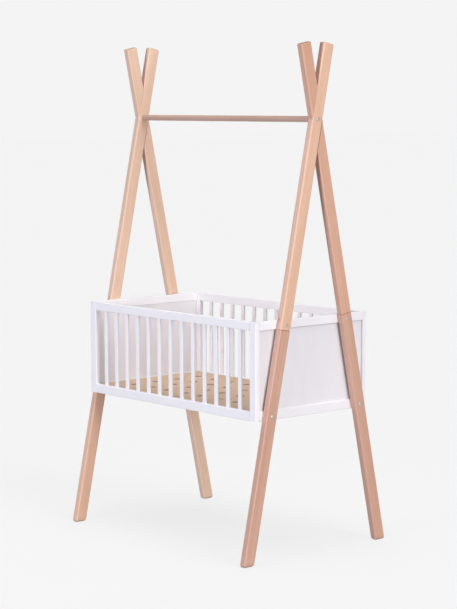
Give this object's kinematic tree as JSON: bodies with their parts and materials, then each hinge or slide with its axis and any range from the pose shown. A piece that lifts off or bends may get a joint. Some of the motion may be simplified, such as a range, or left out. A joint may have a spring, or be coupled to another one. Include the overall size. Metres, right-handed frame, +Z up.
{
  "type": "bassinet on stand",
  "caption": "Rectangular slatted bassinet held at waist height between crossed pairs of tall wooden legs, with a round hanging rail joining the crossings.",
  "frame": {"origin": "on the floor, under the middle of the basket", "axes": "+X along the basket's length, -Y towards the front long side, +Z up"},
  "size_m": [1.0302, 0.7108, 1.8589],
  "materials": {
    "white_paint": "solid wood under satin white paint",
    "panel_paint": "thin board under matt white paint",
    "bare_board": "unfinished fibreboard",
    "beech": "oiled pinkish beech, fine straight grain",
    "steel": "plated steel bolts"
  },
  "bodies": {
    "root": {"front_side_top_rail": "white_paint", "front_side_bottom_rail": "white_paint", "front_side_left_stile": "white_paint", "front_side_right_stile": "white_paint", "front_side_slat_01": "white_paint", "front_side_slat_02": "white_paint", "front_side_slat_03": "white_paint", "front_side_slat_04": "white_paint", "front_side_slat_05": "white_paint", "front_side_slat_06": "white_paint", "front_side_slat_07": "white_paint", "front_side_slat_08": "white_paint", "front_side_slat_09": "white_paint", "front_side_slat_10": "white_paint", "front_side_slat_11": "white_paint", "front_side_slat_12": "white_paint", "front_side_slat_13": "white_paint", "back_side_top_rail": "white_paint", "back_side_bottom_rail": "white_paint", "back_side_left_stile": "white_paint", "back_side_right_stile": "white_paint", "back_side_slat_01": "white_paint", "back_side_slat_02": "white_paint", "back_side_slat_03": "white_paint", "back_side_slat_04": "white_paint", "back_side_slat_05": "white_paint", "back_side_slat_06": "white_paint", "back_side_slat_07": "white_paint", "back_side_slat_08": "white_paint", "back_side_slat_09": "white_paint", "back_side_slat_10": "white_paint", "back_side_slat_11": "white_paint", "back_side_slat_12": "white_paint", "back_side_slat_13": "white_paint", "left_end_top_rail": "white_paint", "left_end_bottom_rail": "white_paint", "left_end_panel": "panel_paint", "right_end_top_rail": "white_paint", "right_end_bottom_rail": "white_paint", "right_end_panel": "panel_paint", "base_board": "bare_board", "left_frame_front_leg_upper": "beech", "left_frame_front_leg_lower": "beech", "left_frame_back_leg_upper": "beech", "left_frame_back_leg_lower": "beech", "left_frame_front_leg_upper_bolt": "steel", "left_frame_front_leg_lower_bolt": "steel", "left_frame_back_leg_upper_bolt": "steel", "left_frame_back_leg_lower_bolt": "steel", "left_frame_crossing_bolt": "steel", "right_frame_front_leg_upper": "beech", "right_frame_front_leg_lower": "beech", "right_frame_back_leg_upper": "beech", "right_frame_back_leg_lower": "beech", "right_frame_front_leg_upper_bolt": "steel", "right_frame_front_leg_lower_bolt": "steel", "right_frame_back_leg_upper_bolt": "steel", "right_frame_back_leg_lower_bolt": "steel", "right_frame_crossing_bolt": "steel", "hanging_rail": "beech"}
  },
  "joints": []
}
